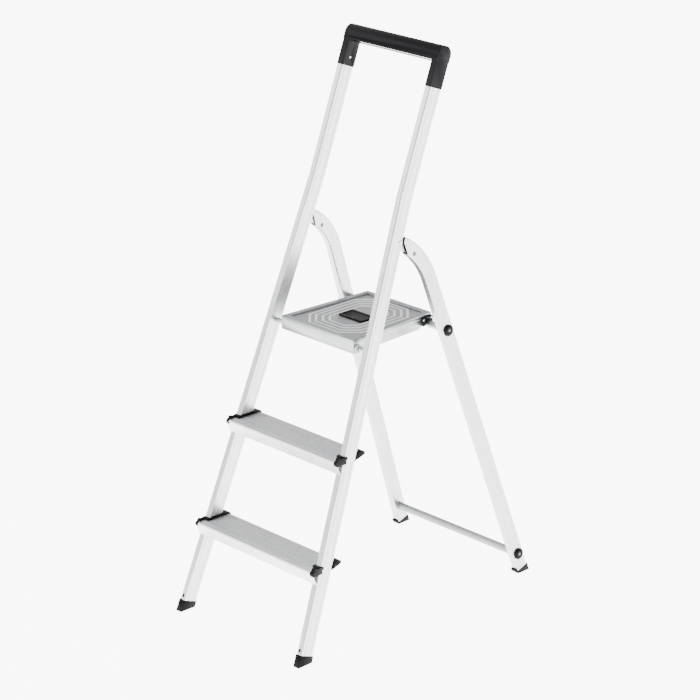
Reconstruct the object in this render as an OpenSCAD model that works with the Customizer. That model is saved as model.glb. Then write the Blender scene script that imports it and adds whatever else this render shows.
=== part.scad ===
// Folding aluminium step stool with two treads, a platform and a hand rail.
// X runs across the stool, Y runs from the treads to the rear legs, Z is up.
// The origin is on the floor, at the middle of the footprint. Millimetres.

/* [Stiles] */
// Lean of the stiles from upright, degrees
stile_lean = 20.55; // [18:0.05:23]
// Depth of the stile tube, front to back
stile_d = 38; // [34:1:46]
// Width of the stile tube, side to side
stile_w = 16; // [14:1:20]
// Wall of the stile tube
stile_wall = 1.5; // [1.2:0.1:2]
// Outer corner radius of the stile tube
stile_round = 3; // [2:0.5:4]
// Spread of the stiles below their bend, degrees in their own plane
stile_spread = 3.28; // [0:0.02:4.5]
// Radius of the bend
bend_r = 120; // [60:5:200]
// Height of the bend above the floor
bend_z = 991.5; // [940:0.5:1100]
// Half the outside width above the bend
top_half_w = 147.2; // [135:0.1:180]
// Height of the rail's highest point above the floor
rail_top_z = 1323; // [1250:1:1600]

/* [Hand rail] */
// Depth of the grip bar, front to back
grip_d = 40; // [40:1:48]
// Height of the grip bar along the stiles
grip_h = 36; // [32:1:44]
// Length of a sleeve over a stile end, from the top of the rail
sleeve_len = 96; // [70:1:120]
// Wall of a sleeve where it covers the stile
sleeve_wall = 1.2; // [1:0.1:2]
// Number of cross ribs under the grip
grip_ribs = 24; // [10:1:30]

/* [Treads] */
// Heights of the two treads
tread_z = [214, 449]; // [150:1:520]
// Overhang of a nose in front of the stiles
nose_out = 26; // [20:1:32]
// Overhang of a tread behind the stiles
tread_back = 20; // [12:1:26]
// Drop of the front flange
flange_drop = 34; // [28:1:40]
// Sheet thickness of the tread section
tread_t = 2; // [1.6:0.1:3]
// Number of anti-slip ribs on a tread
tread_ribs = 11; // [7:1:13]
// Thickness of the plastic end plate of a tread
clip_t = 2.6; // [2:0.1:4]
// Drop of the plastic cap on the end of a nose, below the tread's top
cap_drop = 13; // [11:1:16]
// Height of a clip above the tread's top
clip_rise = 5; // [3:0.5:7]
// Reach of a clip's claw behind the stile
claw_out = 24; // [16:1:25]

/* [Platform] */
// Height of the platform's top
deck_z = 689; // [660:1:720]
// Depth of the platform's skirt
skirt_h = 32; // [28:1:36]
// Front edge of the platform, forward of its pivot
deck_front = 12; // [11:1:18]
// Rear edge of the platform, behind its pivot
deck_rear = 250; // [240:1:275]
// Half width at the front
deck_half_front = 118; // [112:1:122]
// Half width at the rear
deck_half_rear = 104; // [98:1:107]
// Sheet thickness of the platform
deck_t = 1.6; // [1.2:0.1:2]
// Width of the raised rim round the platform's field
rim_w = 13; // [10:1:18]
// Depth of the pressed field below the rim
dish = 4; // [2:0.5:5]
// Depth of the pivot rod below the platform's top
rod_drop = 21; // [19:0.5:23]
// Radius of the platform's pivot rod
rod_r = 5; // [4:0.5:6]
// Distance of the centre insert in front of the platform's middle
insert_fore = 6; // [0:1:12]
// Thickness of the plastic hooks outside the skirt
hook_out = 7; // [6:0.5:10]
// Width and depth of the centre insert
insert_size = [76, 46]; // [30:1:80]

/* [Rear frame] */
// Lean of the rear legs from upright, degrees
leg_lean = 19.26; // [17:0.02:22]
// Depth of the leg tube, front to back
leg_d = 34; // [30:1:38]
// Width of the leg tube, side to side
leg_w = 18; // [16:1:22]
// Wall of the leg tube
leg_wall = 1.5; // [1.2:0.1:2]
// Height of the leg pivots
pivot_z = 901; // [880:1:930]
// Distance of a leg pivot behind the stile's centre line
pivot_back = 11; // [9:0.5:12]
// Distance of a leg pivot in front of the leg's centre line
leg_offset = 51.1; // [48:0.1:58]
// Radius of the bend at the top of a leg
arm_r = 180; // [150:1:210]
// Straight length between the pivot and the bend
arm_lead = 10; // [4:1:20]
// Outer face of a leg, outboard of the stile's outer face
leg_out = 3.5; // [2.5:0.1:4]
// Thickness of a pivot tongue
tongue_t = 8; // [6:0.5:9]
// Radius of the leg pivot pin
pin_r = 4; // [3:0.5:5]
// Radius of the upper and lower crossbar
bar_r = 8.5; // [7.5:0.5:9]
// Distance from the leg pivot down to the upper crossbar, along the leg
upper_bar_l = 266.9; // [260:0.1:272]
// Height of the lower crossbar above the floor
lower_bar_z = 51; // [46:1:80]

/* [Feet and fits] */
// Height of a front foot at its front edge
foot_front_h = 27; // [22:1:34]
// Height of a rear foot at its rear edge
foot_rear_h = 17; // [14:1:24]
// Amount a foot stands proud of its tube
foot_proud = 0.8; // [0.4:0.1:1.5]
// Radial clearance of a turning fit
run_fit = 0.05; // [0.02:0.01:0.09]
// Clearance of a part slid into a tube
slide_fit = 0.15; // [0.1:0.05:0.4]
// Air gap between parts that move past each other
air_gap = 0.4; // [0.3:0.05:1]

/* [Hidden] */
$fn = 48;
big = 4000;
bend_l = bend_z / cos(stile_lean);
bend_x = top_half_w - stile_w / 2;
stile_foot_x = bend_x + tan(stile_spread) * bend_l;
grip_top_l = (rail_top_z - grip_d / 2) / cos(stile_lean) + grip_d / 2;
stile_top_l = grip_top_l - grip_h / 2;
foot_cut_l = (foot_front_h - (stile_d / 2) * sin(stile_lean)) / cos(stile_lean);

pivot_y = pivot_z * tan(stile_lean) + pivot_back / cos(stile_lean);
leg_floor_y = pivot_y + (leg_offset + pivot_z * sin(leg_lean)) / cos(leg_lean);
pivot_l = (pivot_z + leg_offset * sin(leg_lean)) / cos(leg_lean);
arm_hyp = sqrt(arm_lead * arm_lead + arm_r * arm_r);
arm_turn = atan2(arm_r, arm_lead) + asin((leg_offset - arm_r) / arm_hyp);
leg_top_l = pivot_l - arm_r * sin(arm_turn) - arm_lead * cos(arm_turn);
pivot_stile_l = pivot_z / cos(stile_lean) + pivot_back * tan(stile_lean);
stile_x_at_pivot = bend_x + sin(stile_spread) * (bend_l - pivot_stile_l);
leg_x_at_pivot = stile_x_at_pivot + stile_w / 2 + leg_out - leg_w / 2;
tongue_in = (leg_x_at_pivot - stile_x_at_pivot) / 2;
leg_foot_x = leg_x_at_pivot + tan(stile_spread) * pivot_l;
leg_foot_l = (foot_rear_h - (leg_d / 2) * sin(leg_lean)) / cos(leg_lean);

rod_z = deck_z - rod_drop;
rod_y = rod_z * tan(stile_lean);
rod_l = rod_z / cos(stile_lean);
rod_reach = bend_x + tan(stile_spread) * (bend_l - rod_l) + stile_w / 2 - stile_wall - 1.6;
upper_bar_y = pivot_y + leg_offset * cos(leg_lean) + upper_bar_l * sin(leg_lean);
upper_bar_z = pivot_z + leg_offset * sin(leg_lean) - upper_bar_l * cos(leg_lean);
lower_bar_y = leg_floor_y - lower_bar_z * tan(leg_lean);
deck_y0 = rod_y - deck_front;
deck_y1 = rod_y + deck_rear;

foot_front_y = -(stile_d / 2 + foot_proud) / cos(stile_lean);
foot_rear_y = leg_floor_y + (leg_d / 2 + foot_proud) / cos(leg_lean);
origin_y = (foot_front_y + foot_rear_y) / 2;

// ---- shared shapes ----

// Puts a shape drawn for the right-hand side on either side, with the origin at the footprint's middle.
module on_side(side) {
    translate([0, -origin_y, 0]) mirror([side < 0 ? 1 : 0, 0, 0]) children();
}

// A rectangle with round corners, centred.
module round_rect(w, d, r) {
    union() {
        square([w - 2 * r, d], center = true);
        square([w, d - 2 * r], center = true);
        for (sx = [-1, 1]) for (sy = [-1, 1])
            translate([sx * (w / 2 - r), sy * (d / 2 - r)]) circle(r);
    }
}

// Extrudes a side profile, drawn as [y, z], between two places along X.
module across(x0, x1) {
    translate([x0, 0, 0]) rotate([90, 0, 90]) linear_extrude(x1 - x0) children();
}

// A round bar along X.
module bar_x(r, x0, x1) {
    translate([x0, 0, 0]) rotate([0, 90, 0]) cylinder(r = r, h = x1 - x0);
}

// The plane of the stiles: z runs up along the lean, y is square to it.
module stile_plane() {
    rotate([-stile_lean, 0, 0]) children();
}

// The lower, spread stretch of the right stile: z runs along it from floor level.
module low_stile() {
    stile_plane() translate([bend_x, 0, bend_l]) rotate([0, -stile_spread, 0])
        translate([0, 0, -bend_l / cos(stile_spread)]) children();
}

// The right leg: z runs up along it from floor level.
module leg_line() {
    translate([leg_foot_x, leg_floor_y, 0]) rotate([leg_lean, 0, 0]) rotate([0, -stile_spread, 0])
        children();
}

// The upper crossbar's place.
module at_upper_bar() {
    translate([0, upper_bar_y, upper_bar_z]) children();
}

// The lower crossbar's place.
module at_lower_bar() {
    translate([0, lower_bar_y, lower_bar_z]) children();
}

// The leg pivot's place.
module at_pivot() {
    translate([0, pivot_y, pivot_z]) children();
}

// ---- stiles ----

// Runs a section along the right stile, from l0 up to l1, round the slight bend between its stretches.
module along_stile(l0, l1) {
    turn_l = bend_r * tan(stile_spread / 2);
    stile_plane() translate([bend_x, 0, bend_l]) {
        rotate([0, -stile_spread, 0]) mirror([0, 0, 1]) translate([0, 0, turn_l])
            linear_extrude(bend_l / cos(stile_spread) - turn_l - l0) children();
        translate([bend_r, 0, turn_l]) rotate([-90, 0, 180])
            rotate_extrude(angle = stile_spread, $fn = 360) translate([bend_r, 0]) children();
        translate([0, 0, turn_l]) linear_extrude(l1 - bend_l - turn_l) children();
    }
}

// The outside of the right stile, grown by a clearance.
module stile_outside(gap) {
    along_stile(foot_cut_l, stile_top_l)
        round_rect(stile_w + 2 * gap, stile_d + 2 * gap, stile_round + gap);
}

// Section of the stile tube, with two shallow grooves on each side face.
module stile_section() {
    difference() {
        round_rect(stile_w, stile_d, stile_round);
        round_rect(stile_w - 2 * stile_wall, stile_d - 2 * stile_wall, stile_round - stile_wall);
        for (gx = [-1, 1]) for (gy = [-1, 1])
            translate([gx * stile_w / 2, gy * stile_d / 4]) square([0.8, 1.6], center = true);
    }
}

// One stile: a closed tube bent slightly inward at the height of the leg pivots.
module stile(side) {
    slot_w = tongue_t + 3;
    color([0.87, 0.88, 0.89]) on_side(side) difference() {
        along_stile(foot_cut_l, stile_top_l) stile_section();
        // slot for the pivot tongue in the rear wall
        low_stile() translate([tongue_in - slot_w / 2, stile_d / 4, pivot_stile_l - 34])
            cube([slot_w, stile_d / 2, 50]);
        // holes for the leg pivot and the platform rod
        at_pivot() bar_x(pin_r, 0, big / 4);
        translate([0, rod_y, rod_z]) bar_x(rod_r, 0, rod_reach + 0.2);
        // hole for the foot's latch
        low_stile() translate([-3, -stile_d / 2 - 2, foot_cut_l + 6]) cube([6, stile_wall + 4, 8]);
    }
}

// ---- hand rail ----

// Side profile of the grip bar: flat below, half round above.
module grip_profile(inset) {
    r = grip_d / 2 - inset;
    translate([0, grip_top_l - grip_d / 2]) circle(r);
    translate([-r, grip_top_l - grip_h + inset]) square([2 * r, grip_h - grip_d / 2 - inset]);
}

// The moulded grip: a hollow bar between two sleeves that slide over the stile ends.
module hand_grip() {
    out_x = top_half_w + sleeve_wall;
    sleeve_w = stile_w + 2 * sleeve_wall;
    sleeve_d = stile_d + 2 * sleeve_wall;
    sleeve_l0 = grip_top_l - sleeve_len;
    bar_l0 = grip_top_l - grip_h;
    pocket = 3;
    color([0.16, 0.16, 0.17]) on_side(1) difference() {
        stile_plane() union() {
            across(-out_x, out_x) grip_profile(0);
            for (s = [-1, 1]) translate([s * bend_x, 0, sleeve_l0])
                linear_extrude(sleeve_len - grip_h + 6) round_rect(sleeve_w, sleeve_d, stile_round);
        }
        for (s = [0, 1]) mirror([s, 0, 0]) stile_outside(slide_fit);
        // open underside of the bar, which takes the ribbed insert
        stile_plane() translate([-bend_x + stile_w, -grip_d / 2 + pocket, bar_l0 - 1])
            cube([2 * (bend_x - stile_w), grip_d - 2 * pocket, grip_h / 2]);
        // screw seats on the inner faces of the sleeves
        for (s = [0, 1]) mirror([s, 0, 0]) stile_plane()
            translate([bend_x, 0, sleeve_l0 + 20]) bar_x(2.6, -sleeve_w, 0);
    }
}

// The ribbed strip pressed into the underside of the grip.
module grip_ribbed_insert() {
    bar_l0 = grip_top_l - grip_h;
    wide = 2 * (bend_x - stile_w) - 1;
    deep = grip_d - 6.6;
    pitch = wide / grip_ribs;
    color([0.2, 0.2, 0.21]) on_side(1) stile_plane() {
        translate([-wide / 2, -deep / 2, bar_l0 + 3]) cube([wide, deep, 6]);
        for (i = [0 : grip_ribs - 1])
            translate([-wide / 2 + pitch * (i + 0.25), -deep / 2, bar_l0]) cube([pitch / 2, deep, 4]);
    }
}

// Small screws that hold the sleeves on the stiles.
module sleeve_screws() {
    color([0.6, 0.6, 0.62]) on_side(1)
        for (s = [0, 1]) mirror([s, 0, 0]) stile_plane()
            translate([bend_x, 0, grip_top_l - sleeve_len + 20]) difference() {
                bar_x(2.4, -stile_w / 2 - sleeve_wall, -stile_w / 2 - slide_fit);
                bar_x(1.2, -stile_w / 2 - sleeve_wall - 1, -stile_w / 2 - sleeve_wall + 0.5, $fn = 6);
            }
}

// ---- treads ----

// Distance of the stile's front or rear face from its centre line, measured level.
function stile_half_y() = stile_d / 2 / cos(stile_lean);

// Section of a tread as [y, z], with its top at z = 0 and the stile's centre line at y = 0.
module tread_profile() {
    front = -stile_half_y() - nose_out;
    back = stile_half_y() + tread_back;
    nose_r = 5;
    toe_y = -flange_drop * tan(stile_lean) - stile_half_y() - tread_t;
    pitch = (back - front - 14) / tread_ribs;
    rib = 1;
    // top plate
    translate([front + nose_r, -tread_t - rib]) square([back - front - nose_r, tread_t]);
    // nose
    translate([front + nose_r, -nose_r - rib]) difference() {
        circle(nose_r);
        circle(nose_r - tread_t);
        translate([0, -2 * nose_r]) square([4 * nose_r, 4 * nose_r]);
        translate([-2 * nose_r, -2 * nose_r]) square([4 * nose_r, 2 * nose_r - 0.4]);
    }
    // front flange, sloping back to the stiles
    polygon([
        [front, -nose_r - rib], [front + tread_t, -nose_r - rib],
        [toe_y + tread_t, -flange_drop], [toe_y, -flange_drop]
    ]);
    // inner web and rear flange with its lip
    translate([-stile_half_y() + 6, -22]) square([tread_t, 22 - tread_t - rib + 0.5]);
    translate([back - tread_t, -24]) square([tread_t, 24 - rib]);
    translate([back - 10, -24]) square([10, tread_t]);
    // ribs
    for (i = [0 : tread_ribs - 1])
        translate([front + 9 + pitch * (i + 0.15), -rib - 0.2]) square([pitch * 0.55, rib + 0.2]);
}

// Everything outboard of the tread's end, beside and behind the stile's front face.
module tread_end_space(depth, gap) {
    low_stile() translate([-stile_w / 2 - depth, -stile_d / 2 - gap, 0])
        cube([big / 4, big / 4, bend_l]);
}

// Side profile of the two-lobed cap on the end of a nose, with the tread's top at z = 0.
module nose_cap_profile() {
    front = -stile_half_y() - nose_out;
    hull() {
        translate([front + 5.5, -6.5]) circle(6.5);
        translate([-stile_half_y() + 4, -cap_drop]) square([1, cap_drop]);
    }
    translate([front + 10, 0.5]) circle(clip_rise);
    translate([front + 10, -4]) square([nose_out, clip_rise + 2]);
}

// The stretch across X between two distances from the stile's centre line.
module stile_slab(x0, x1) {
    low_stile() translate([x0, -big / 8, 0]) cube([x1 - x0, big / 4, bend_l]);
}

// One extruded tread, cut to sit between the stiles and in front of them.
module tread(i) {
    z = tread_z[i];
    color([0.8, 0.81, 0.82]) difference() {
        translate([0, -origin_y, 0]) translate([0, z * tan(stile_lean), z])
            across(-stile_foot_x - stile_w, stile_foot_x + stile_w) tread_profile();
        for (s = [-1, 1]) on_side(s) {
            tread_end_space(clip_t, 0.1);
            stile_slab(stile_w / 2, big / 4);
            intersection() {
                stile_slab(1, big / 4);
                translate([0, -big / 8, z - cap_drop]) cube([big / 4, big / 4, 2 * cap_drop]);
            }
        }
    }
}

// One plastic tread clip: end plate, bridge and nose cap in front of the stile, and the claw behind it.
module tread_clip(i, side) {
    z = tread_z[i];
    plate_x = -stile_w / 2 - clip_t;
    face = -stile_half_y();
    rear = stile_half_y();
    tip_r = 4.5;
    color([0.13, 0.13, 0.14]) on_side(side) {
        // end plate between the tread and the stile, standing above the tread's top
        intersection() {
            translate([0, z * tan(stile_lean), z]) across(0, big / 4) {
                translate([face - 6, -18]) square([rear - face + 20, 18 + clip_rise]);
                translate([face + 4, -25]) square([rear - face + 8, 10]);
                translate([rear + 14, clip_rise - 3]) circle(3);
            }
            stile_slab(plate_x, -stile_w / 2);
            tread_end_space(clip_t, 0);
        }
        // bridge over the tread and cap on the end of the nose
        difference() {
            translate([0, z * tan(stile_lean), z]) union() {
                intersection() {
                    across(0, big / 4) translate([face - 6, 0]) square([14, clip_rise]);
                    translate([0, -z * tan(stile_lean), -z]) stile_slab(plate_x, stile_w / 2);
                }
                intersection() {
                    across(0, big / 4) nose_cap_profile();
                    translate([0, -z * tan(stile_lean), -z]) stile_slab(1, stile_w / 2 + 1.5);
                }
            }
            stile_outside(0);
        }
        // claw behind the stile
        difference() {
            intersection() {
                translate([0, z * tan(stile_lean), z]) across(0, big / 4) hull() {
                    translate([rear - 8, -12]) square([8, 12 + clip_rise]);
                    translate([rear + claw_out - tip_r, -2]) circle(tip_r);
                }
                stile_slab(plate_x, stile_w / 2 + 2);
            }
            low_stile() translate([plate_x - 1, -big / 4 + stile_d / 2, 0])
                cube([2 * stile_w, big / 4, bend_l]);
        }
    }
}

// Rivets through the flange ends into the front faces of the stiles.
module tread_rivets() {
    color([0.62, 0.63, 0.65])
        for (z = tread_z) for (s = [-1, 1]) on_side(s) for (dz = [-31, -25])
            difference() {
                low_stile() translate([0, -stile_d / 2, (z + dz) / cos(stile_lean)]) rotate([90, 0, 0])
                    cylinder(r = 1.6, h = 9);
                translate([0, z * tan(stile_lean), z]) across(0, big / 4) tread_profile();
            }
}

// ---- front feet ----

// A wedge foot with a plug inside the stile and a latch through its front wall.
module front_foot(side) {
    plug_w = stile_w - 2 * stile_wall - 2 * slide_fit;
    plug_d = stile_d - 2 * stile_wall - 2 * slide_fit;
    plug_r = max(stile_round - stile_wall, 0.5);
    color([0.1, 0.1, 0.11]) on_side(side) difference() {
        low_stile() {
            translate([-stile_w / 2 - foot_proud, -stile_d / 2 - foot_proud, -30])
                cube([stile_w + 2 * foot_proud, stile_d + 2 * foot_proud, 30 + foot_cut_l]);
            translate([0, 0, foot_cut_l - 1]) linear_extrude(26) round_rect(plug_w, plug_d, plug_r);
            translate([-2.7, -stile_d / 2 - 0.6, foot_cut_l + 6.3]) cube([5.4, 8, 7.4]);
        }
        translate([0, 0, -big / 2]) cube([big, big, big], center = true);
    }
}

// ---- pivots on the stiles ----

// The pin of a leg pivot, with a low round head on the stile's outer face.
module leg_pivot(side) {
    tip = stile_x_at_pivot - stile_w / 2 - 1;
    head = stile_x_at_pivot + stile_w / 2;
    color([0.72, 0.73, 0.75]) on_side(side) at_pivot() {
        bar_x(pin_r, tip, head);
    }
    color([0.72, 0.73, 0.75]) on_side(side) difference() {
        at_pivot() translate([head - 0.5, 0, 0]) rotate([0, 90, 0]) cylinder(r1 = 6, r2 = 4.4, h = 2.4);
        low_stile() translate([0, -big / 8, 0]) cube([stile_w / 2, big / 4, bend_l]);
        at_pivot() bar_x(pin_r, 0, head);
    }
}

// The rod that carries the platform between the stiles.
module platform_pivot_rod() {
    color([0.66, 0.67, 0.69]) on_side(1) translate([0, rod_y, rod_z])
        bar_x(rod_r, -rod_reach, rod_reach);
}

// ---- rear frame ----

// Sweeps a section along the leg and round the bend at its top.
module leg_sweep(w, d, r, l0, over) {
    translate([0, 0, l0]) linear_extrude(leg_top_l - l0) round_rect(w, d, r);
    translate([0, -arm_r, leg_top_l]) rotate([90, 0, 90])
        rotate_extrude(angle = arm_turn + 6 + over, $fn = 180) translate([arm_r, 0]) round_rect(d, w, r);
}

// One rear leg: a closed tube, bent forward at the top towards its pivot.
module rear_leg(side) {
    inner_w = leg_w - 2 * leg_wall;
    inner_d = leg_d - 2 * leg_wall;
    color([0.86, 0.87, 0.88]) on_side(side) difference() {
        leg_line() difference() {
            leg_sweep(leg_w, leg_d, 3, leg_foot_l, 0);
            leg_sweep(inner_w, inner_d, 1.6, leg_foot_l - 1, 1);
        }
        at_upper_bar() bar_x(bar_r, 0, leg_x_at_pivot + sin(stile_spread) * upper_bar_l);
        at_lower_bar() bar_x(bar_r + 0.7, 0, leg_foot_x - tan(stile_spread) * lower_bar_z);
        leg_line() arm_rivet_place() bar_x(3, -leg_w, leg_w);
        // the tube's end is cut back so that it clears the stile, folded and open
        low_stile() translate([-1.5 * leg_w, air_gap - stile_d / 2, pivot_stile_l - 80])
            cube([3 * leg_w, stile_d, 160]);
        leg_line() translate([-leg_w, -leg_offset - 100 + stile_d / 2 - pivot_back + air_gap, leg_top_l])
            cube([2 * leg_w, 100, 300]);
    }
}

// The arm rivet's place on the leg, a little way down from the pivot.
module arm_rivet_place() {
    turn = arm_turn - 13;
    translate([0, -arm_r + (arm_r - 5) * cos(turn), leg_top_l + (arm_r - 5) * sin(turn)]) children();
}

// The tongue in the end of a leg, which enters the stile and turns on the pivot pin.
module arm_tongue(side) {
    reach = 56;
    color([0.7, 0.71, 0.73]) on_side(side) difference() {
        leg_line() translate([0, -leg_offset, pivot_l]) rotate([174 + arm_turn, 0, 0])
            translate([-tongue_in, 0, 0]) rotate([0, 90, 0]) linear_extrude(tongue_t, center = true) union() {
                circle(11);
                translate([-reach, -11]) square([reach, 22]);
            }
        at_pivot() bar_x(pin_r + run_fit, 0, big / 4);
        leg_line() arm_rivet_place() bar_x(3, -leg_w, leg_w);
    }
}

// Rivets that hold the tongues in the legs.
module arm_rivets() {
    color([0.3, 0.3, 0.32]) for (s = [-1, 1]) on_side(s) leg_line() arm_rivet_place() {
        bar_x(3, -leg_w / 2, leg_w / 2);
        for (e = [0, 1]) mirror([e, 0, 0]) translate([leg_w / 2, 0, 0]) rotate([0, 90, 0])
            cylinder(r1 = 5, r2 = 3.6, h = 1.4);
    }
}

// A crossbar tube between the legs, open at both ends.
module crossbar(reach, ridges) {
    across(-reach, reach) difference() {
        union() {
            circle(bar_r);
            if (ridges > 0) for (a = [0 : ridges - 1])
                rotate(a * 360 / ridges) translate([bar_r - 0.2, 0]) circle(0.8, $fn = 16);
        }
        circle(bar_r - 1.3);
    }
}

// The bar under the platform, which carries its rear edge.
module upper_crossbar() {
    reach = leg_x_at_pivot + sin(stile_spread) * upper_bar_l + leg_w / 2 - leg_wall - 1.2;
    color([0.76, 0.77, 0.78]) on_side(1) at_upper_bar() crossbar(reach, 0);
}

// The ridged bar that joins the legs near the floor.
module lower_crossbar() {
    reach = leg_foot_x - tan(stile_spread) * lower_bar_z + leg_w / 2 - leg_wall - 1.2;
    color([0.7, 0.71, 0.72]) on_side(1) at_lower_bar() crossbar(reach, 16);
}

// A round cap over the end of a crossbar, on the leg's outer face.
module bar_cap(side, l) {
    color([0.08, 0.08, 0.09]) on_side(side) leg_line() translate([leg_w / 2, 0, l]) rotate([0, 90, 0]) {
        difference() {
            union() {
                cylinder(r = 13.5, h = 3.5);
                translate([0, 0, 3.5]) cylinder(r1 = 13.5, r2 = 9, h = 2.5);
            }
            translate([0, 0, 4.6]) cylinder(r = 5.5, h = 3);
        }
    }
}

// The blind rivets in the middle of the caps.
module bar_cap_rivets() {
    color([0.12, 0.12, 0.13]) for (s = [-1, 1]) for (l = cap_places()) on_side(s) leg_line()
        translate([leg_w / 2, 0, l]) rotate([0, 90, 0]) translate([0, 0, 4.6]) cylinder(r = 3.5, h = 1);
}

// Places of the crossbars along a leg, measured from the floor.
function cap_places() = [pivot_l - upper_bar_l, lower_bar_z / cos(leg_lean)];

// A wedge foot on a rear leg, with a plug and a small hook at its front edge.
module rear_foot(side) {
    plug_w = leg_w - 2 * leg_wall - 2 * slide_fit;
    plug_d = leg_d - 2 * leg_wall - 2 * slide_fit;
    color([0.1, 0.1, 0.11]) on_side(side) difference() {
        leg_line() {
            translate([-leg_w / 2 - foot_proud, -leg_d / 2 - foot_proud, -30])
                cube([leg_w + 2 * foot_proud, leg_d + 2 * foot_proud, 30 + leg_foot_l]);
            translate([0, 0, leg_foot_l - 1]) linear_extrude(20) round_rect(plug_w, plug_d, 1.6);
            translate([-leg_w / 2 - foot_proud, -leg_d / 2 - 3, -30])
                cube([leg_w + 2 * foot_proud, 3 - slide_fit, 30 + leg_foot_l + 6]);
        }
        translate([0, 0, -big / 2]) cube([big, big, big], center = true);
        translate([-big / 2, -big + leg_floor_y - (leg_d / 2 + foot_proud) / cos(leg_lean), -1])
            cube([big, big, 3.5]);
    }
}

// ---- platform ----

// Outline of the platform, a little narrower at the rear, drawn in plan.
module deck_outline(inset) {
    f = deck_half_front - inset;
    r = deck_half_rear - inset;
    polygon([[-f, deck_y0 + inset], [f, deck_y0 + inset], [r, deck_y1 - inset], [-r, deck_y1 - inset]]);
}

// The open-mouthed notch that drops over the upper crossbar and lets it leave downwards.
module bar_notch() {
    open = bar_r + air_gap;
    at_upper_bar() across(-big / 8, big / 8) {
        circle(open);
        polygon([
            [-open + 0.4, 4], [-open + 0.4, 0], [-open - 20, -open], [-open - 30, -60],
            [open - 2, -60], [open - 0.4, -2], [open - 0.4, 4]
        ]);
    }
}

// Eight-sided outline used for the pressed beads, cut square at the corners.
module bead_outline(inset) {
    cut = 46 - 0.4 * inset;
    y0 = deck_y0 + inset;
    y1 = deck_y1 - inset;
    w = (deck_half_front + deck_half_rear) / 2 - inset - 4;
    polygon([
        [-w, y0 + cut], [-w + cut, y0], [w - cut, y0], [w, y0 + cut],
        [w, y1 - cut], [w - cut, y1], [-w + cut, y1], [-w, y1 - cut]
    ]);
}

// The pressed sheet platform: a raised rim, a lower field with beads, and a skirt all round.
module platform_deck() {
    bead = 0.8;
    color([0.74, 0.75, 0.77]) on_side(1) difference() {
        union() {
            difference() {
                translate([0, 0, deck_z - skirt_h]) linear_extrude(skirt_h) deck_outline(0);
                translate([0, 0, deck_z - dish]) linear_extrude(dish + 1) deck_outline(rim_w);
            }
            for (inset = [19, 32, 46, 60]) translate([0, 0, deck_z - dish - 0.4])
                linear_extrude(bead + 0.4) difference() {
                    bead_outline(inset);
                    bead_outline(inset + 4);
                }
        }
        translate([0, 0, deck_z - skirt_h - 1]) linear_extrude(skirt_h + 1 - deck_t - dish)
            deck_outline(deck_t);
        translate([0, 0, deck_z - deck_t - dish - 1]) linear_extrude(dish + 1) difference() {
            deck_outline(deck_t);
            deck_outline(rim_w - deck_t);
        }
        bar_notch();
        translate([0, rod_y, rod_z]) bar_x(7, -big / 8, big / 8);
        translate([0, insert_y(), deck_z])
            cube([insert_size[0] - 10, insert_size[1] - 10, 20], center = true);
        for (h = hook_holes()) translate([0, h[0], h[1]]) bar_x(2, -big / 8, big / 8);
    }
}

// Middle of the centre insert along Y.
function insert_y() = (deck_y0 + deck_y1) / 2 - insert_fore;

// A hat-section stiffener under the sheet, forward of the insert's opening.
module platform_stiffener() {
    top = deck_z - dish - deck_t;
    y0 = rod_y + 34;
    wide = deck_half_rear - deck_t - 4;
    color([0.68, 0.69, 0.71]) on_side(1) difference() {
        translate([-wide, y0, top - 16]) cube([2 * wide, 40, 16]);
        translate([-wide - 1, y0 + 8, top - 14.5]) cube([2 * wide + 2, 24, 20]);
        translate([-wide - 1, y0 - 1, top - 20]) cube([2 * wide + 2, 7.5, 18.5]);
        translate([-wide - 1, y0 + 33.5, top - 20]) cube([2 * wide + 2, 7.5, 18.5]);
    }
}

// The plain plastic insert in the middle of the platform.
module deck_insert() {
    color([0.07, 0.07, 0.08]) on_side(1) translate([0, insert_y(), deck_z - dish + 0.8]) {
        difference() {
            linear_extrude(2.4) round_rect(insert_size[0], insert_size[1], 4);
            translate([0, 0, 1.6]) linear_extrude(2)
                round_rect(insert_size[0] - 12, insert_size[1] - 12, 3);
        }
        translate([0, 0, -5]) linear_extrude(5.2)
            round_rect(insert_size[0] - 10.4, insert_size[1] - 10.4, 0.5);
    }
}

// A flanged bush in the platform's skirt, turning on the pivot rod.
module platform_bush(side) {
    lip = deck_half_front + 5;
    color([0.62, 0.63, 0.65]) on_side(side) difference() {
        translate([0, rod_y, rod_z]) union() {
            bar_x(7, deck_half_front - 16, lip);
            bar_x(9.5, deck_half_front - 3, lip);
        }
        difference() {
            translate([0, 0, deck_z - skirt_h]) linear_extrude(skirt_h) deck_outline(0);
            translate([0, rod_y, rod_z]) bar_x(7, 0, big / 8);
        }
        translate([0, rod_y, rod_z]) bar_x(rod_r + run_fit, 0, big / 8);
    }
}

// Places of the hook rivets, as [y, z].
function hook_holes() = [[upper_bar_y - 16, deck_z - 11], [upper_bar_y + 8, deck_z - 9]];

// A plastic hook beside the skirt, which holds the platform down on the upper crossbar.
module platform_hook(side) {
    color([0.07, 0.07, 0.08]) on_side(side) difference() {
        across(deck_half_rear - 4, deck_half_rear + hook_out) polygon([
            [upper_bar_y - 21, deck_z - 6], [upper_bar_y + 12, deck_z - 5],
            [upper_bar_y + 14, deck_z - 20], [upper_bar_y + 12, deck_z - 36],
            [upper_bar_y - 2, deck_z - 40], [upper_bar_y - 16, deck_z - 32]
        ]);
        translate([0, 0, deck_z - skirt_h - 20]) linear_extrude(skirt_h + 40) deck_outline(0);
        bar_notch();
        for (h = hook_holes()) translate([0, h[0], h[1]]) bar_x(2, 0, big / 8);
    }
}

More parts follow.
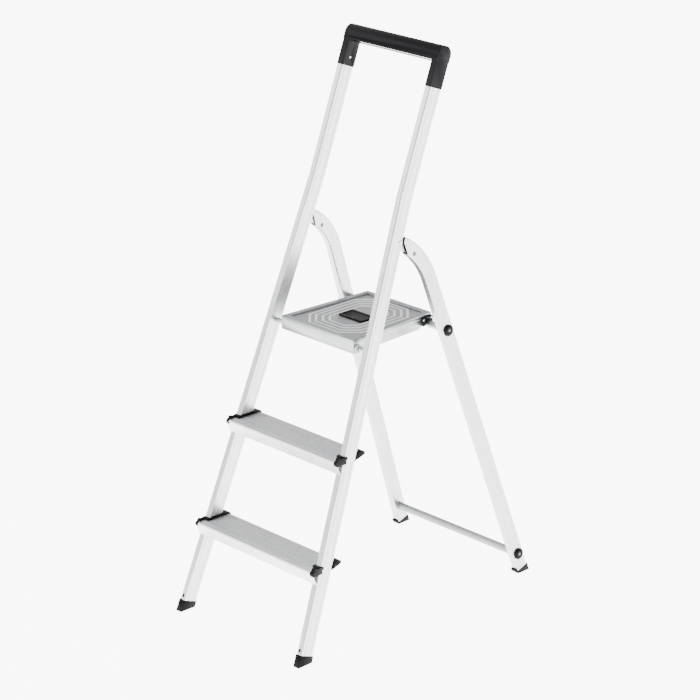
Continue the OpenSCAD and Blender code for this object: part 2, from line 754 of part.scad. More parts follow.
// Rivets that hold the hooks to the skirt.
module hook_rivets() {
    color([0.6, 0.6, 0.62]) for (s = [-1, 1]) on_side(s)
        for (h = hook_holes()) translate([0, h[0], h[1]]) {
            bar_x(2, deck_half_rear - 2, deck_half_rear + hook_out);
            translate([deck_half_rear + hook_out, 0, 0]) rotate([0, 90, 0])
                cylinder(r1 = 3, r2 = 2, h = 0.8);
        }
}

stile(-1);  // stile_left
stile(1);  // stile_right
hand_grip();
grip_ribbed_insert();
tread(0);  // tread_lower
tread(1);  // tread_upper
tread_clip(0, -1);  // tread_clip_lower_left
tread_clip(0, 1);  // tread_clip_lower_right
tread_clip(1, -1);  // tread_clip_upper_left
tread_clip(1, 1);  // tread_clip_upper_right
tread_rivets();
sleeve_screws();
front_foot(-1);  // front_foot_left
front_foot(1);  // front_foot_right
leg_pivot(-1);  // leg_pivot_left
leg_pivot(1);  // leg_pivot_right
platform_pivot_rod();
rear_leg(-1);  // rear_leg_left
rear_leg(1);  // rear_leg_right
arm_tongue(-1);  // arm_tongue_left
arm_tongue(1);  // arm_tongue_right
arm_rivets();
upper_crossbar();
lower_crossbar();
bar_cap(-1, cap_places()[0]);  // bar_cap_upper_left
bar_cap(1, cap_places()[0]);  // bar_cap_upper_right
bar_cap(-1, cap_places()[1]);  // bar_cap_lower_left
bar_cap(1, cap_places()[1]);  // bar_cap_lower_right
bar_cap_rivets();
rear_foot(-1);  // rear_foot_left
rear_foot(1);  // rear_foot_right
platform_deck();
platform_stiffener();
deck_insert();
platform_bush(-1);  // platform_bush_left
platform_bush(1);  // platform_bush_right
platform_hook(-1);  // platform_hook_left
platform_hook(1);  // platform_hook_right
hook_rivets();
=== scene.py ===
"""Folding aluminium step stool: tubes, treads, pressed platform, moulded grip, clips, caps and feet."""
import math

import bmesh
import bpy
from mathutils import Matrix, Vector


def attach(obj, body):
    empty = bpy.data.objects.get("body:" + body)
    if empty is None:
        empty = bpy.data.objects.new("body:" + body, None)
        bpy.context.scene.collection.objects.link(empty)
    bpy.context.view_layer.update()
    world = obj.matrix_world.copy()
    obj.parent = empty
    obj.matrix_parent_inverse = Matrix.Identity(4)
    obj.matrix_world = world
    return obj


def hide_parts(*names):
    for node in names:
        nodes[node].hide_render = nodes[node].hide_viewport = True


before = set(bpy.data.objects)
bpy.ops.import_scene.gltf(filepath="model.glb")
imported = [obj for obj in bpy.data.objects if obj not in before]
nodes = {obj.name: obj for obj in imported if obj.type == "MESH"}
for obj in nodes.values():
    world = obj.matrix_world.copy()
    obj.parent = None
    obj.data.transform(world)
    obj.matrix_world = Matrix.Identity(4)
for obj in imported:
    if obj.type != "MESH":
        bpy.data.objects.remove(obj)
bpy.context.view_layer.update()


# Camera, floor and light
# A long lens looks down on the stool from its front right. The floor is pale and glows softly, the sky
# is plain white, and two large soft lamps stand at the front left and overhead.
camera_azimuth = math.radians(45.886)
camera_height_angle = math.radians(20.370)
camera_lens = 138.0
camera_place = (4.137, -4.0275, 2.7485)

camera_data = bpy.data.cameras.new("camera")
camera_data.lens = camera_lens
camera_data.sensor_width = 36.0
camera_data.clip_end = 100.0
camera = bpy.data.objects.new("camera", camera_data)
camera.location = camera_place
camera.rotation_euler = (math.pi / 2 - camera_height_angle, 0.0, camera_azimuth)
bpy.context.scene.collection.objects.link(camera)
bpy.context.scene.camera = camera


def soft_lamp(name, place, target, size, power):
    """A square area lamp that faces a point."""
    data = bpy.data.lights.new(name, "AREA")
    data.shape = "SQUARE"
    data.size = size
    data.energy = power
    lamp = bpy.data.objects.new(name, data)
    lamp.location = place
    lamp.rotation_euler = (Vector(target) - Vector(place)).to_track_quat("-Z", "Y").to_euler()
    bpy.context.scene.collection.objects.link(lamp)


soft_lamp("lamp_front_left", place=(-2.6, -3.4, 3.0), target=(0.0, 0.0, 0.6), size=2.6, power=130.0)
soft_lamp("lamp_overhead", place=(0.8, 0.6, 4.2), target=(0.0, 0.0, 0.5), size=3.0, power=60.0)

sky_strength = 1.5
world = bpy.data.worlds.new("studio")
bpy.context.scene.world = world
world.use_nodes = True
sky = world.node_tree.nodes["Background"]
sky.inputs["Color"].default_value = (1.0, 1.0, 1.0, 1.0)
sky.inputs["Strength"].default_value = sky_strength

floor_half_size = 14.0
floor_grey = 0.93
floor_roughness = 0.9
floor_glow = 7.5
floor_mesh = bpy.data.meshes.new("floor")
floor_shape = bmesh.new()
bmesh.ops.create_grid(floor_shape, x_segments=4, y_segments=4, size=floor_half_size)
floor_shape.to_mesh(floor_mesh)
floor_shape.free()
floor = bpy.data.objects.new("floor", floor_mesh)
bpy.context.scene.collection.objects.link(floor)
floor_paint = bpy.data.materials.new("pale_floor")
floor_paint.use_nodes = True
floor_shader = floor_paint.node_tree.nodes["Principled BSDF"]
floor_shader.inputs["Base Color"].default_value = (floor_grey, floor_grey, floor_grey, 1.0)
floor_shader.inputs["Roughness"].default_value = floor_roughness
floor_shader.inputs["Emission Color"].default_value = (1.0, 1.0, 1.0, 1.0)
floor_shader.inputs["Emission Strength"].default_value = floor_glow
floor_mesh.materials.append(floor_paint)


# Stiles
# Each stile is one drawn aluminium tube, satin anodised, bent slightly inward near the leg pivots.
# Its fine grain and wider streaks run the length of the tube, under soft patches of duller metal.
stile_lean = math.radians(20.55)
tube_metallic = 0.92
fine_grain, wide_grain = 900.0, 120.0
fine_grain_along, wide_grain_along = 9.0, 2.0


def new_material(name, colour, metallic, roughness):
    """A material with its shader, its node tree and a Texture Coordinate node."""
    material = bpy.data.materials.new(name)
    material.use_nodes = True
    tree = material.node_tree
    shader = tree.nodes["Principled BSDF"]
    shader.inputs["Base Color"].default_value = (*colour, 1.0)
    shader.inputs["Metallic"].default_value = metallic
    shader.inputs["Roughness"].default_value = roughness
    place = tree.nodes.new("ShaderNodeTexCoord")
    return material, tree, shader, place.outputs["Object"]


def mapped(tree, socket, turn, scale):
    """Object coordinates, turned about X and stretched."""
    mapping = tree.nodes.new("ShaderNodeMapping")
    turned = tree.nodes.new("ShaderNodeMapping")
    turned.inputs["Rotation"].default_value = (turn, 0.0, 0.0)
    mapping.inputs["Scale"].default_value = scale
    tree.links.new(socket, turned.inputs["Vector"])
    tree.links.new(turned.outputs["Vector"], mapping.inputs["Vector"])
    return mapping.outputs["Vector"]


def noise(tree, vector, scale, detail, rough=0.5):
    """A noise texture's value."""
    node = tree.nodes.new("ShaderNodeTexNoise")
    node.inputs["Scale"].default_value = scale
    node.inputs["Detail"].default_value = detail
    node.inputs["Roughness"].default_value = rough
    tree.links.new(vector, node.inputs["Vector"])
    return node.outputs["Fac"]


def ramp(tree, value, low, high, dark, light):
    """A two-stop colour ramp over a value."""
    node = tree.nodes.new("ShaderNodeValToRGB")
    node.color_ramp.elements[0].position = low
    node.color_ramp.elements[0].color = (*dark, 1.0)
    node.color_ramp.elements[1].position = high
    node.color_ramp.elements[1].color = (*light, 1.0)
    tree.links.new(value, node.inputs["Fac"])
    return node.outputs["Color"]


def multiplied(tree, first, second):
    """One colour socket multiplied by another."""
    node = tree.nodes.new("ShaderNodeMix")
    node.data_type = "RGBA"
    node.blend_type = "MULTIPLY"
    node.inputs[0].default_value = 1.0
    tree.links.new(first, node.inputs[6])
    tree.links.new(second, node.inputs[7])
    return node.outputs[2]


def bumps(tree, shader, value, strength, distance):
    """Relief from a value, chained onto any relief the shader has already."""
    node = tree.nodes.new("ShaderNodeBump")
    node.inputs["Strength"].default_value = strength
    node.inputs["Distance"].default_value = distance
    tree.links.new(value, node.inputs["Height"])
    if shader.inputs["Normal"].links:
        tree.links.new(shader.inputs["Normal"].links[0].from_socket, node.inputs["Normal"])
    tree.links.new(node.outputs["Normal"], shader.inputs["Normal"])


def drawn_aluminium(name, turn, along, tint=(0.52, 0.525, 0.535), dull=0.30):
    """Satin aluminium with its grain along one axis after a turn about X."""
    material, tree, shader, place = new_material(name, tint, tube_metallic, dull)
    fine = [fine_grain] * 3
    fine["XYZ".index(along)] = fine_grain_along
    grain = noise(tree, mapped(tree, place, turn, fine), 1.0, 3.0)
    wide = [wide_grain] * 3
    wide["XYZ".index(along)] = wide_grain_along
    streaks = noise(tree, mapped(tree, place, turn, wide), 1.0, 2.0)
    clouds = noise(tree, place, 9.0, 4.0)
    low = tuple(0.86 * c for c in tint)
    colour = ramp(tree, streaks, 0.3, 0.7, low, tint)
    soft = ramp(tree, clouds, 0.3, 0.7, (0.93, 0.935, 0.94), (1.0, 1.0, 1.0))
    tree.links.new(multiplied(tree, colour, soft), shader.inputs["Base Color"])
    gloss = ramp(tree, grain, 0.25, 0.75, (dull - 0.08,) * 3, (dull + 0.14,) * 3)
    tree.links.new(gloss, shader.inputs["Roughness"])
    bumps(tree, shader, grain, 0.12, 0.0002)
    return material


def dress(material, *names):
    """Gives CAD nodes a finish."""
    for node_name in names:
        data = nodes[node_name].data
        data.materials.clear()
        data.materials.append(material)


stile_finish = drawn_aluminium("drawn_aluminium_stile", stile_lean, "Z")
dress(stile_finish, "stile_left", "stile_right")


# Rear legs
# The same drawn tube, bent forward at the top in a former, so its grain follows the straight part.
leg_lean = math.radians(-19.26)
leg_finish = drawn_aluminium("drawn_aluminium_leg", leg_lean, "Z", (0.45, 0.455, 0.465), 0.27)
dress(leg_finish, "rear_leg_left", "rear_leg_right")


# Crossbars and pivot rod
# Plated steel bars, drawn along their length. The lower one is ridged and a little darker.
bar_finish = drawn_aluminium("drawn_bar", 0.0, "X", (0.34, 0.345, 0.355), 0.28)
dress(bar_finish, "upper_crossbar", "platform_pivot_rod")
ridged_finish = drawn_aluminium("ridged_bar", 0.0, "X", (0.28, 0.285, 0.295), 0.34)
dress(ridged_finish, "lower_crossbar")


# Treads
# Extruded aluminium with lengthwise anti-slip ribs on top. Grain runs along it, and scuffs dull it.
def tread_aluminium():
    """Extruded aluminium, scuffed by shoes."""
    material, tree, shader, place = new_material("extruded_tread", (0.5, 0.505, 0.515), 0.9, 0.36)
    grain = noise(tree, mapped(tree, place, 0.0, (8.0, 700.0, 700.0)), 1.0, 3.0)
    scuffs = noise(tree, mapped(tree, place, 0.0, (40.0, 90.0, 40.0)), 1.0, 5.0, 0.65)
    colour = ramp(tree, grain, 0.3, 0.7, (0.50, 0.505, 0.515), (0.62, 0.625, 0.635))
    worn = ramp(tree, scuffs, 0.35, 0.65, (0.9, 0.9, 0.9), (1.0, 1.0, 1.0))
    tree.links.new(multiplied(tree, colour, worn), shader.inputs["Base Color"])
    gloss = ramp(tree, scuffs, 0.3, 0.7, (0.30, 0.30, 0.30), (0.46, 0.46, 0.46))
    tree.links.new(gloss, shader.inputs["Roughness"])
    bumps(tree, shader, grain, 0.15, 0.0002)
    return material


tread_finish = tread_aluminium()
dress(tread_finish, "tread_lower", "tread_upper")


# Moulded plastic and rubber pieces
# The grip, clips, hooks, caps, bushes and feet are injection moulded, so their edges are rounded.
# Each is the fitted shape with its edges eased, in a finish with fine moulding grain.
sharp_edge = math.radians(28.0)
flat_edge = math.radians(1.0)
same_point = 0.00002
moulded_shine = 0.045


def eased(node_name, body, material, width):
    """A copy of a fitted piece with its doubles merged and its sharp edges rounded."""
    mesh = nodes[node_name].data.copy()
    mesh.name = node_name + "_moulded"
    shape = bmesh.new()
    shape.from_mesh(mesh)
    bmesh.ops.remove_doubles(shape, verts=shape.verts, dist=same_point)
    bmesh.ops.dissolve_limit(
        shape, angle_limit=flat_edge, verts=shape.verts, edges=shape.edges)
    shape.to_mesh(mesh)
    shape.free()
    piece = bpy.data.objects.new(node_name + "_moulded", mesh)
    bpy.context.scene.collection.objects.link(piece)
    round_over = piece.modifiers.new("round_over", "BEVEL")
    round_over.width = width
    round_over.segments = 3
    round_over.limit_method = "ANGLE"
    round_over.angle_limit = sharp_edge
    round_over.harden_normals = True
    plain = bpy.data.meshes.new_from_object(
        piece.evaluated_get(bpy.context.evaluated_depsgraph_get()))
    piece.modifiers.clear()
    piece.data = plain
    plain.materials.clear()
    plain.materials.append(material)
    for face in plain.polygons:
        face.use_smooth = True
    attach(piece, body)
    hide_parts(node_name)


def moulded(name, colour, roughness, grain_size, relief):
    """Plastic or rubber with fine moulding grain and slight uneven gloss."""
    material, tree, shader, place = new_material(name, colour, 0.0, roughness)
    shader.inputs["Specular IOR Level"].default_value = moulded_shine
    grain = noise(tree, place, grain_size, 2.0)
    patches = noise(tree, place, 30.0, 3.0)
    lighter = tuple(min(1.0, 1.35 * c) for c in colour)
    tree.links.new(ramp(tree, patches, 0.3, 0.75, colour, lighter), shader.inputs["Base Color"])
    gloss = ramp(tree, patches, 0.3, 0.7, (roughness - 0.06,) * 3, (roughness + 0.08,) * 3)
    tree.links.new(gloss, shader.inputs["Roughness"])
    bumps(tree, shader, grain, 0.25, relief)
    return material


grip_plastic = moulded("grip_plastic", (0.0050, 0.0045, 0.0052), 0.42, 1400.0, 0.0002)
black_plastic = moulded("black_plastic", (0.0026, 0.0026, 0.0028), 0.40, 1800.0, 0.0001)
foot_rubber = moulded("foot_rubber", (0.0020, 0.0020, 0.0022), 0.55, 900.0, 0.0003)
bush_nylon = moulded("bush_nylon", (0.42, 0.43, 0.44), 0.40, 1500.0, 0.0001)

eased("hand_grip", "front_frame", grip_plastic, 0.0016)
for level in ("lower", "upper"):
    for side in ("left", "right"):
        eased("tread_clip_%s_%s" % (level, side), "front_frame", black_plastic, 0.0006)
        eased("bar_cap_%s_%s" % (level, side), "rear_frame", black_plastic, 0.0007)
for side in ("left", "right"):
    eased("front_foot_" + side, "front_frame", foot_rubber, 0.0012)
    eased("rear_foot_" + side, "rear_frame", foot_rubber, 0.0010)
    eased("platform_hook_" + side, "platform", black_plastic, 0.0012)
    eased("platform_bush_" + side, "platform", bush_nylon, 0.0005)


# Rivets, pins and screws
# The tread, hook and pivot rivets, the sleeve screws and the arm tongues are plated steel.
# The arm and cap rivets are blackened.
def rivet_steel(name, colour, roughness):
    """Steel with small marks from the press."""
    material, tree, shader, place = new_material(name, colour, 1.0, roughness)
    marks = noise(tree, place, 700.0, 3.0)
    tree.links.new(
        ramp(tree, marks, 0.3, 0.7, tuple(0.8 * c for c in colour), colour),
        shader.inputs["Base Color"])
    bumps(tree, shader, marks, 0.2, 0.0001)
    return material


plated_steel = rivet_steel("plated_steel", (0.42, 0.425, 0.435), 0.3)
dark_steel = rivet_steel("dark_steel", (0.10, 0.10, 0.105), 0.4)
dress(plated_steel, "tread_rivets", "sleeve_screws", "leg_pivot_left", "leg_pivot_right",
      "arm_tongue_left", "arm_tongue_right", "hook_rivets")
dress(dark_steel, "arm_rivets", "bar_cap_rivets")


# Ribs, serrations and knurled rims
# Everything that repeats is laid out by two node trees: a grid of round-cornered ribs for the grip and
# the treads, and a ring of small round ribs for the rims of the caps.
rib_weld, rib_corner_points, round_rib_sides = 0.000001, 2, 10


def tree_with_inputs(name, wanted):
    """A geometry tree with a group input for each named value and one geometry output."""
    tree = bpy.data.node_groups.new(name, "GeometryNodeTree")
    tree.interface.new_socket("Geometry", in_out="OUTPUT", socket_type="NodeSocketGeometry")
    for label, kind in wanted:
        tree.interface.new_socket(label, in_out="INPUT", socket_type=kind)
    return tree, tree.nodes.new("NodeGroupInput").outputs, tree.nodes.new("NodeGroupOutput").inputs


def joined(tree, node_type, **wires):
    """A node whose inputs, named with underscores for spaces, take the sockets given."""
    node = tree.nodes.new(node_type)
    for label, socket in wires.items():
        tree.links.new(socket, node.inputs[label.replace("_", " ")])
    return node


def rib_grid_tree():
    """Rows and columns of solid ribs with round corners, turned and placed as one."""
    tree, given, result = tree_with_inputs("rib_grid", (
        ("Columns", "NodeSocketInt"), ("Rows", "NodeSocketInt"), ("Start", "NodeSocketVector"),
        ("Column Step", "NodeSocketVector"), ("Row Step", "NodeSocketVector"),
        ("Width", "NodeSocketFloat"), ("Depth", "NodeSocketFloat"), ("Height", "NodeSocketFloat"),
        ("Corner", "NodeSocketFloat"), ("Turn", "NodeSocketVector"), ("Material", "NodeSocketMaterial")))
    columns = joined(tree, "GeometryNodeMeshLine", Count=given["Columns"],
                     Start_Location=given["Start"], Offset=given["Column Step"])
    rows = joined(tree, "GeometryNodeMeshLine", Count=given["Rows"], Offset=given["Row Step"])
    lattice = joined(tree, "GeometryNodeInstanceOnPoints", Points=columns.outputs["Mesh"],
                     Instance=rows.outputs["Mesh"])
    points = joined(tree, "GeometryNodeRealizeInstances", Geometry=lattice.outputs["Instances"])
    outline = joined(tree, "GeometryNodeCurvePrimitiveQuadrilateral", Width=given["Width"],
                     Height=given["Depth"])
    fillet = tree.nodes.new("GeometryNodeFilletCurve")
    fillet.mode = "POLY"
    fillet.inputs["Count"].default_value = rib_corner_points
    tree.links.new(outline.outputs["Curve"], fillet.inputs["Curve"])
    tree.links.new(given["Corner"], fillet.inputs["Radius"])
    foot = joined(tree, "GeometryNodeFillCurve", Curve=fillet.outputs["Curve"])
    raised = joined(tree, "GeometryNodeExtrudeMesh", Mesh=foot.outputs["Mesh"],
                    Offset_Scale=given["Height"])
    under = joined(tree, "GeometryNodeFlipFaces", Mesh=foot.outputs["Mesh"])
    both = tree.nodes.new("GeometryNodeJoinGeometry")
    tree.links.new(raised.outputs["Mesh"], both.inputs["Geometry"])
    tree.links.new(under.outputs["Mesh"], both.inputs["Geometry"])
    solid = joined(tree, "GeometryNodeMergeByDistance", Geometry=both.outputs["Geometry"])
    solid.inputs["Distance"].default_value = rib_weld
    ribs = joined(tree, "GeometryNodeInstanceOnPoints", Points=points.outputs["Geometry"],
                  Instance=solid.outputs["Geometry"])
    turned = joined(tree, "GeometryNodeTransform", Geometry=ribs.outputs["Instances"],
                    Rotation=given["Turn"])
    real = joined(tree, "GeometryNodeRealizeInstances", Geometry=turned.outputs["Geometry"])
    coated = joined(tree, "GeometryNodeSetMaterial", Geometry=real.outputs["Geometry"],
                    Material=given["Material"])
    tree.links.new(coated.outputs["Geometry"], result["Geometry"])
    return tree


def rib_ring_tree():
    """A ring of small round ribs standing on a disc, then turned and placed as one."""
    tree, given, result = tree_with_inputs("rib_ring", (
        ("Count", "NodeSocketInt"), ("Ring Radius", "NodeSocketFloat"),
        ("Rib Radius", "NodeSocketFloat"), ("Height", "NodeSocketFloat"),
        ("Place", "NodeSocketVector"), ("Turn", "NodeSocketVector"), ("Material", "NodeSocketMaterial")))
    ring = joined(tree, "GeometryNodeMeshCircle", Vertices=given["Count"], Radius=given["Ring Radius"])
    rib = joined(tree, "GeometryNodeMeshCylinder", Radius=given["Rib Radius"], Depth=given["Height"])
    rib.inputs["Vertices"].default_value = round_rib_sides
    ribs = joined(tree, "GeometryNodeInstanceOnPoints", Points=ring.outputs["Mesh"],
                  Instance=rib.outputs["Mesh"])
    turned = joined(tree, "GeometryNodeTransform", Geometry=ribs.outputs["Instances"],
                    Translation=given["Place"], Rotation=given["Turn"])
    real = joined(tree, "GeometryNodeRealizeInstances", Geometry=turned.outputs["Geometry"])
    coated = joined(tree, "GeometryNodeSetMaterial", Geometry=real.outputs["Geometry"],
                    Material=given["Material"])
    tree.links.new(coated.outputs["Geometry"], result["Geometry"])
    return tree


def grown(tree, name, values):
    """The plain mesh that a tree makes from the values given for its inputs."""
    holder = bpy.data.objects.new(name, bpy.data.meshes.new(name + "_seed"))
    bpy.context.scene.collection.objects.link(holder)
    maker = holder.modifiers.new("layout", "NODES")
    maker.node_group = tree
    for item in tree.interface.items_tree:
        if item.item_type == "SOCKET" and item.in_out == "INPUT":
            maker[item.identifier] = values[item.name]
    holder.update_tag()
    mesh = bpy.data.meshes.new_from_object(
        holder.evaluated_get(bpy.context.evaluated_depsgraph_get()))
    holder.modifiers.clear()
    bpy.data.objects.remove(holder)
    return mesh


def gathered(name, meshes, body, material):
    """One piece made of several meshes, riding a body."""
    shape = bmesh.new()
    for mesh in meshes:
        shape.from_mesh(mesh)
    bmesh.ops.recalc_face_normals(shape, faces=shape.faces)
    whole = bpy.data.meshes.new(name)
    shape.to_mesh(whole)
    shape.free()
    whole.materials.clear()
    whole.materials.append(material)
    piece = bpy.data.objects.new(name, whole)
    bpy.context.scene.collection.objects.link(piece)
    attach(piece, body)
    return piece


rib_grid = rib_grid_tree()
rib_ring = rib_ring_tree()

tread_levels = {"tread_lower": 0.214, "tread_upper": 0.449}
tread_rib_count = 11
tread_end_margin = 0.050
rib_row_margin, first_rib, rib_middle = 0.014, 0.009, 0.425
tooth_pitch, tooth_sink = 0.006, 0.0002
tooth_width, tooth_depth, tooth_height, tooth_corner = 0.0030, 0.0034, 0.0006, 0.0008
serrations = []
for tread_name, level in tread_levels.items():
    tread_mesh = nodes[tread_name].data
    xs = [vertex.co.x for vertex in tread_mesh.vertices]
    ys = [vertex.co.y for vertex in tread_mesh.vertices]
    rib_pitch = (max(ys) - min(ys) - rib_row_margin) / tread_rib_count
    teeth = int((max(xs) - min(xs) - tread_end_margin) / tooth_pitch)
    serrations.append(grown(rib_grid, tread_name + "_teeth", {
        "Columns": teeth, "Rows": tread_rib_count,
        "Start": (-0.5 * tooth_pitch * (teeth - 1), min(ys) + first_rib + rib_middle * rib_pitch,
                  level - tooth_sink),
        "Column Step": (tooth_pitch, 0.0, 0.0), "Row Step": (0.0, rib_pitch, 0.0),
        "Width": tooth_width, "Depth": tooth_depth, "Height": tooth_height, "Corner": tooth_corner,
        "Turn": (0.0, 0.0, 0.0), "Material": tread_finish}))
gathered("tread_serrations", serrations, "front_frame", tread_finish)

strip = nodes["grip_ribbed_insert"].data
strip_x = max(vertex.co.x for vertex in strip.vertices)
lean_turn = Matrix.Rotation(-stile_lean, 4, "X")
flat = [lean_turn.inverted() @ vertex.co for vertex in strip.vertices]
strip_low = min(point.z for point in flat)
strip_top = max(point.z for point in flat)
strip_front = min(point.y for point in flat)
strip_back = max(point.y for point in flat)
strip_mid = (strip_front + strip_back) / 2
grip_rib_height, grip_rib_corner, grip_rib_share = 0.004, 0.0018, 0.55
grip_groove = 0.003
base_low = strip_low + grip_groove
grip_rib_count = 24
grip_rib_pitch = 2 * strip_x / grip_rib_count
grip_turn = (-stile_lean, 0.0, 0.0)
ribs_only = {
    "Columns": grip_rib_count, "Rows": 1,
    "Start": (-strip_x + 0.5 * grip_rib_pitch, strip_mid, strip_low),
    "Column Step": (grip_rib_pitch, 0.0, 0.0), "Row Step": (0.0, 0.01, 0.0),
    "Width": grip_rib_share * grip_rib_pitch, "Depth": strip_back - strip_front,
    "Height": grip_rib_height, "Corner": grip_rib_corner, "Turn": grip_turn, "Material": foot_rubber}
base_only = dict(ribs_only, Columns=1, Start=(0.0, strip_mid, base_low), Width=2 * strip_x,
                 Height=strip_top - base_low)
grip_strip = gathered(
    "grip_ribs", [grown(rib_grid, "grip_rib_row", ribs_only), grown(rib_grid, "grip_base", base_only)],
    "front_frame", foot_rubber)
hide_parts("grip_ribbed_insert")

leg_spread = math.radians(3.28)
knurl_count, knurl_ring, knurl_radius = 28, 0.0130, 0.0008
knurl_height, knurl_sink = 0.0026, 0.0012
knurls = []
for level in ("lower", "upper"):
    for side in ("left", "right"):
        cap = nodes["bar_cap_%s_%s" % (level, side)].data
        middle = sum((vertex.co for vertex in cap.vertices), Vector()) / len(cap.vertices)
        outward = 1.0 if side == "right" else -1.0
        level_axis = Vector((math.cos(leg_spread) * outward, 0.0, math.sin(leg_spread)))
        axis = Matrix.Rotation(-leg_lean, 3, "X") @ level_axis
        turn = axis.to_track_quat("Z", "Y").to_euler()
        start = middle - axis * knurl_sink
        knurls.append(grown(rib_ring, "knurl_%s_%s" % (level, side), {
            "Count": knurl_count, "Ring Radius": knurl_ring, "Rib Radius": knurl_radius,
            "Height": knurl_height,
            "Place": tuple(start), "Turn": tuple(turn), "Material": black_plastic}))
gathered("cap_knurls", knurls, "rear_frame", black_plastic)


# Platform
# Pressed aluminium sheet. Rounded beads run in nested eight-sided rings about the middle, and the
# sheet turns down all round into a skirt with a soft edge.
sheet_tint, sheet_dullness = (0.30, 0.305, 0.315), 0.30
sheet_finish = drawn_aluminium("pressed_sheet", 0.0, "X", sheet_tint, sheet_dullness)
dress(sheet_finish, "platform_stiffener")
eased("platform_deck", "platform", sheet_finish, 0.0011)

field_top = 0.685
deck_mesh = nodes["platform_deck"].data
deck_front = min(vertex.co.y for vertex in deck_mesh.vertices)
deck_rear = max(vertex.co.y for vertex in deck_mesh.vertices)
deck_middle = (deck_front + deck_rear) / 2
half_front, half_rear, half_length = 0.118, 0.104, (deck_rear - deck_front) / 2
bead_side_gap = 0.004
bead_half_width = (half_front + half_rear) / 2 - bead_side_gap
rim_width, corner_cut = 0.0130, 0.046
bead_insets = (0.021, 0.034, 0.048, 0.062)
bead_rise, bead_width, pad_rise = 0.0017, 0.0092, 0.0010
field_steps = 220
field_lift, field_sink, field_side_gap = 0.00012, 0.0004, 0.0001
pad_inset, pad_inset_fade = 0.012, 0.003
pad_edge, pad_edge_fade = 0.0035, 0.002
# Painted highlight: a lighter metal colour laid along the bead crests, fading out towards the flat
# field.
bead_highlight_colour, bead_highlight_full, bead_highlight_none = (0.72, 0.725, 0.735, 1.0), 0.16, 0.34
corner_slope = 1.6


def smooth(value):
    """A soft step from 0 to 1."""
    value = min(1.0, max(0.0, value))
    return value * value * (3.0 - 2.0 * value)


def field_relief(x, y, edge):
    """Height of the pressed pattern over the flat field."""
    along = abs(y - deck_middle)
    inset = min(bead_half_width - abs(x), half_length - along,
                (bead_half_width + half_length - corner_cut - abs(x) - along) / corner_slope)
    height = field_lift
    for ring in bead_insets:
        away = abs(inset - ring) / bead_width
        if away < 0.5:
            height += bead_rise * math.cos(math.pi * away) ** 2
    pad = smooth((edge - pad_edge) / pad_edge_fade) * smooth((pad_inset - inset) / pad_inset_fade)
    height += pad_rise * pad
    return height


def worked_out(tree, operation, first, second=0.0):
    """One step of arithmetic on numbers or sockets."""
    node = tree.nodes.new("ShaderNodeMath")
    node.operation = operation
    for socket, value in zip(node.inputs, (first, second)):
        if isinstance(value, float):
            socket.default_value = value
        else:
            tree.links.new(value, socket)
    return node.outputs[0]


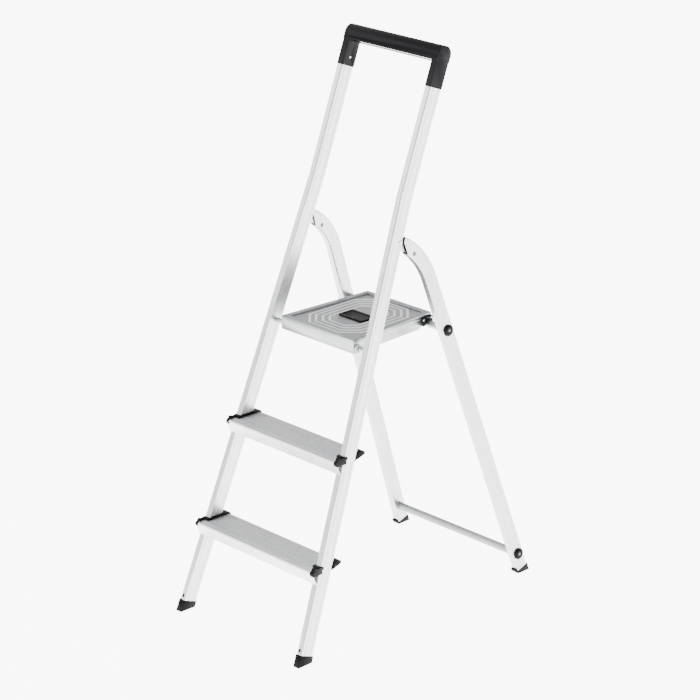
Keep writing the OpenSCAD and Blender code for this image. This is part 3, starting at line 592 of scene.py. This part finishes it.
def pressed_sheet():
    """The sheet's finish with a painted highlight that brightens its beads, found from the same
    eight-sided insets.
    """
    material = drawn_aluminium("pressed_field", 0.0, "X", sheet_tint, sheet_dullness)
    tree = material.node_tree
    shader = tree.nodes["Principled BSDF"]

    split = tree.nodes.new("ShaderNodeSeparateXYZ")
    place = tree.nodes.new("ShaderNodeTexCoord")
    tree.links.new(place.outputs["Object"], split.inputs[0])
    across = worked_out(tree, "ABSOLUTE", split.outputs[0])
    along = worked_out(tree, "ABSOLUTE", worked_out(tree, "SUBTRACT", split.outputs[1], deck_middle))
    corner_reach = bead_half_width + half_length - corner_cut
    corner_room = worked_out(tree, "SUBTRACT", corner_reach, worked_out(tree, "ADD", across, along))
    corner = worked_out(tree, "MULTIPLY", corner_room, 1 / corner_slope)
    sides = worked_out(tree, "SUBTRACT", bead_half_width, across)
    ends = worked_out(tree, "SUBTRACT", half_length, along)
    inset = worked_out(tree, "MINIMUM", corner, worked_out(tree, "MINIMUM", sides, ends))
    nearest = None
    for ring in bead_insets:
        away = worked_out(tree, "ABSOLUTE", worked_out(tree, "SUBTRACT", inset, ring))
        nearest = away if nearest is None else worked_out(tree, "MINIMUM", nearest, away)
    centimetres = worked_out(tree, "MULTIPLY", nearest, 100.0)
    # Painted highlight on the beads: full near each bead's middle, gone a few millimetres away.
    painted_bead_highlight = ramp(tree, centimetres, bead_highlight_full, bead_highlight_none, (1.0, 1.0, 1.0), (0.0, 0.0, 0.0))
    blend = tree.nodes.new("ShaderNodeMix")
    blend.data_type = "RGBA"
    tree.links.new(painted_bead_highlight, blend.inputs[0])
    tree.links.new(shader.inputs["Base Color"].links[0].from_socket, blend.inputs[6])
    blend.inputs[7].default_value = bead_highlight_colour
    tree.links.new(blend.outputs[2], shader.inputs["Base Color"])
    return material


pressed_finish = pressed_sheet()
field = bmesh.new()
top_rows = []
low_rows = []
for j in range(field_steps + 1):
    y = deck_front + rim_width + (deck_rear - deck_front - 2 * rim_width) * j / field_steps
    share = (y - deck_front) / (deck_rear - deck_front)
    reach = half_front + (half_rear - half_front) * share - rim_width - field_side_gap
    top_row = []
    low_row = []
    for i in range(field_steps + 1):
        x = reach * (2.0 * i / field_steps - 1.0)
        edge = min(reach - abs(x), y - deck_front - rim_width, deck_rear - rim_width - y)
        top_row.append(field.verts.new((x, y, field_top + field_relief(x, y, edge))))
        low_row.append(field.verts.new((x, y, field_top - field_sink)))
    top_rows.append(top_row)
    low_rows.append(low_row)
for j in range(field_steps):
    for i in range(field_steps):
        field.faces.new((top_rows[j][i], top_rows[j][i + 1], top_rows[j + 1][i + 1], top_rows[j + 1][i]))
        field.faces.new((low_rows[j][i], low_rows[j + 1][i], low_rows[j + 1][i + 1], low_rows[j][i + 1]))
    for rows_end in (0, field_steps):
        field.faces.new((top_rows[j][rows_end], top_rows[j + 1][rows_end],
                         low_rows[j + 1][rows_end], low_rows[j][rows_end]))
        field.faces.new((top_rows[rows_end][j], low_rows[rows_end][j],
                         low_rows[rows_end][j + 1], top_rows[rows_end][j + 1]))
bmesh.ops.recalc_face_normals(field, faces=field.faces)
for face in field.faces:
    face.smooth = True
field_mesh = bpy.data.meshes.new("platform_pressed_field")
field.to_mesh(field_mesh)
field.free()
field_mesh.materials.append(pressed_finish)
pressed_field = bpy.data.objects.new("platform_pressed_field", field_mesh)
bpy.context.scene.collection.objects.link(pressed_field)
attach(pressed_field, "platform")


# Centre insert
# A plain black moulding pressed into the opening near the middle of the sheet.
eased("deck_insert", "platform", black_plastic, 0.0012)
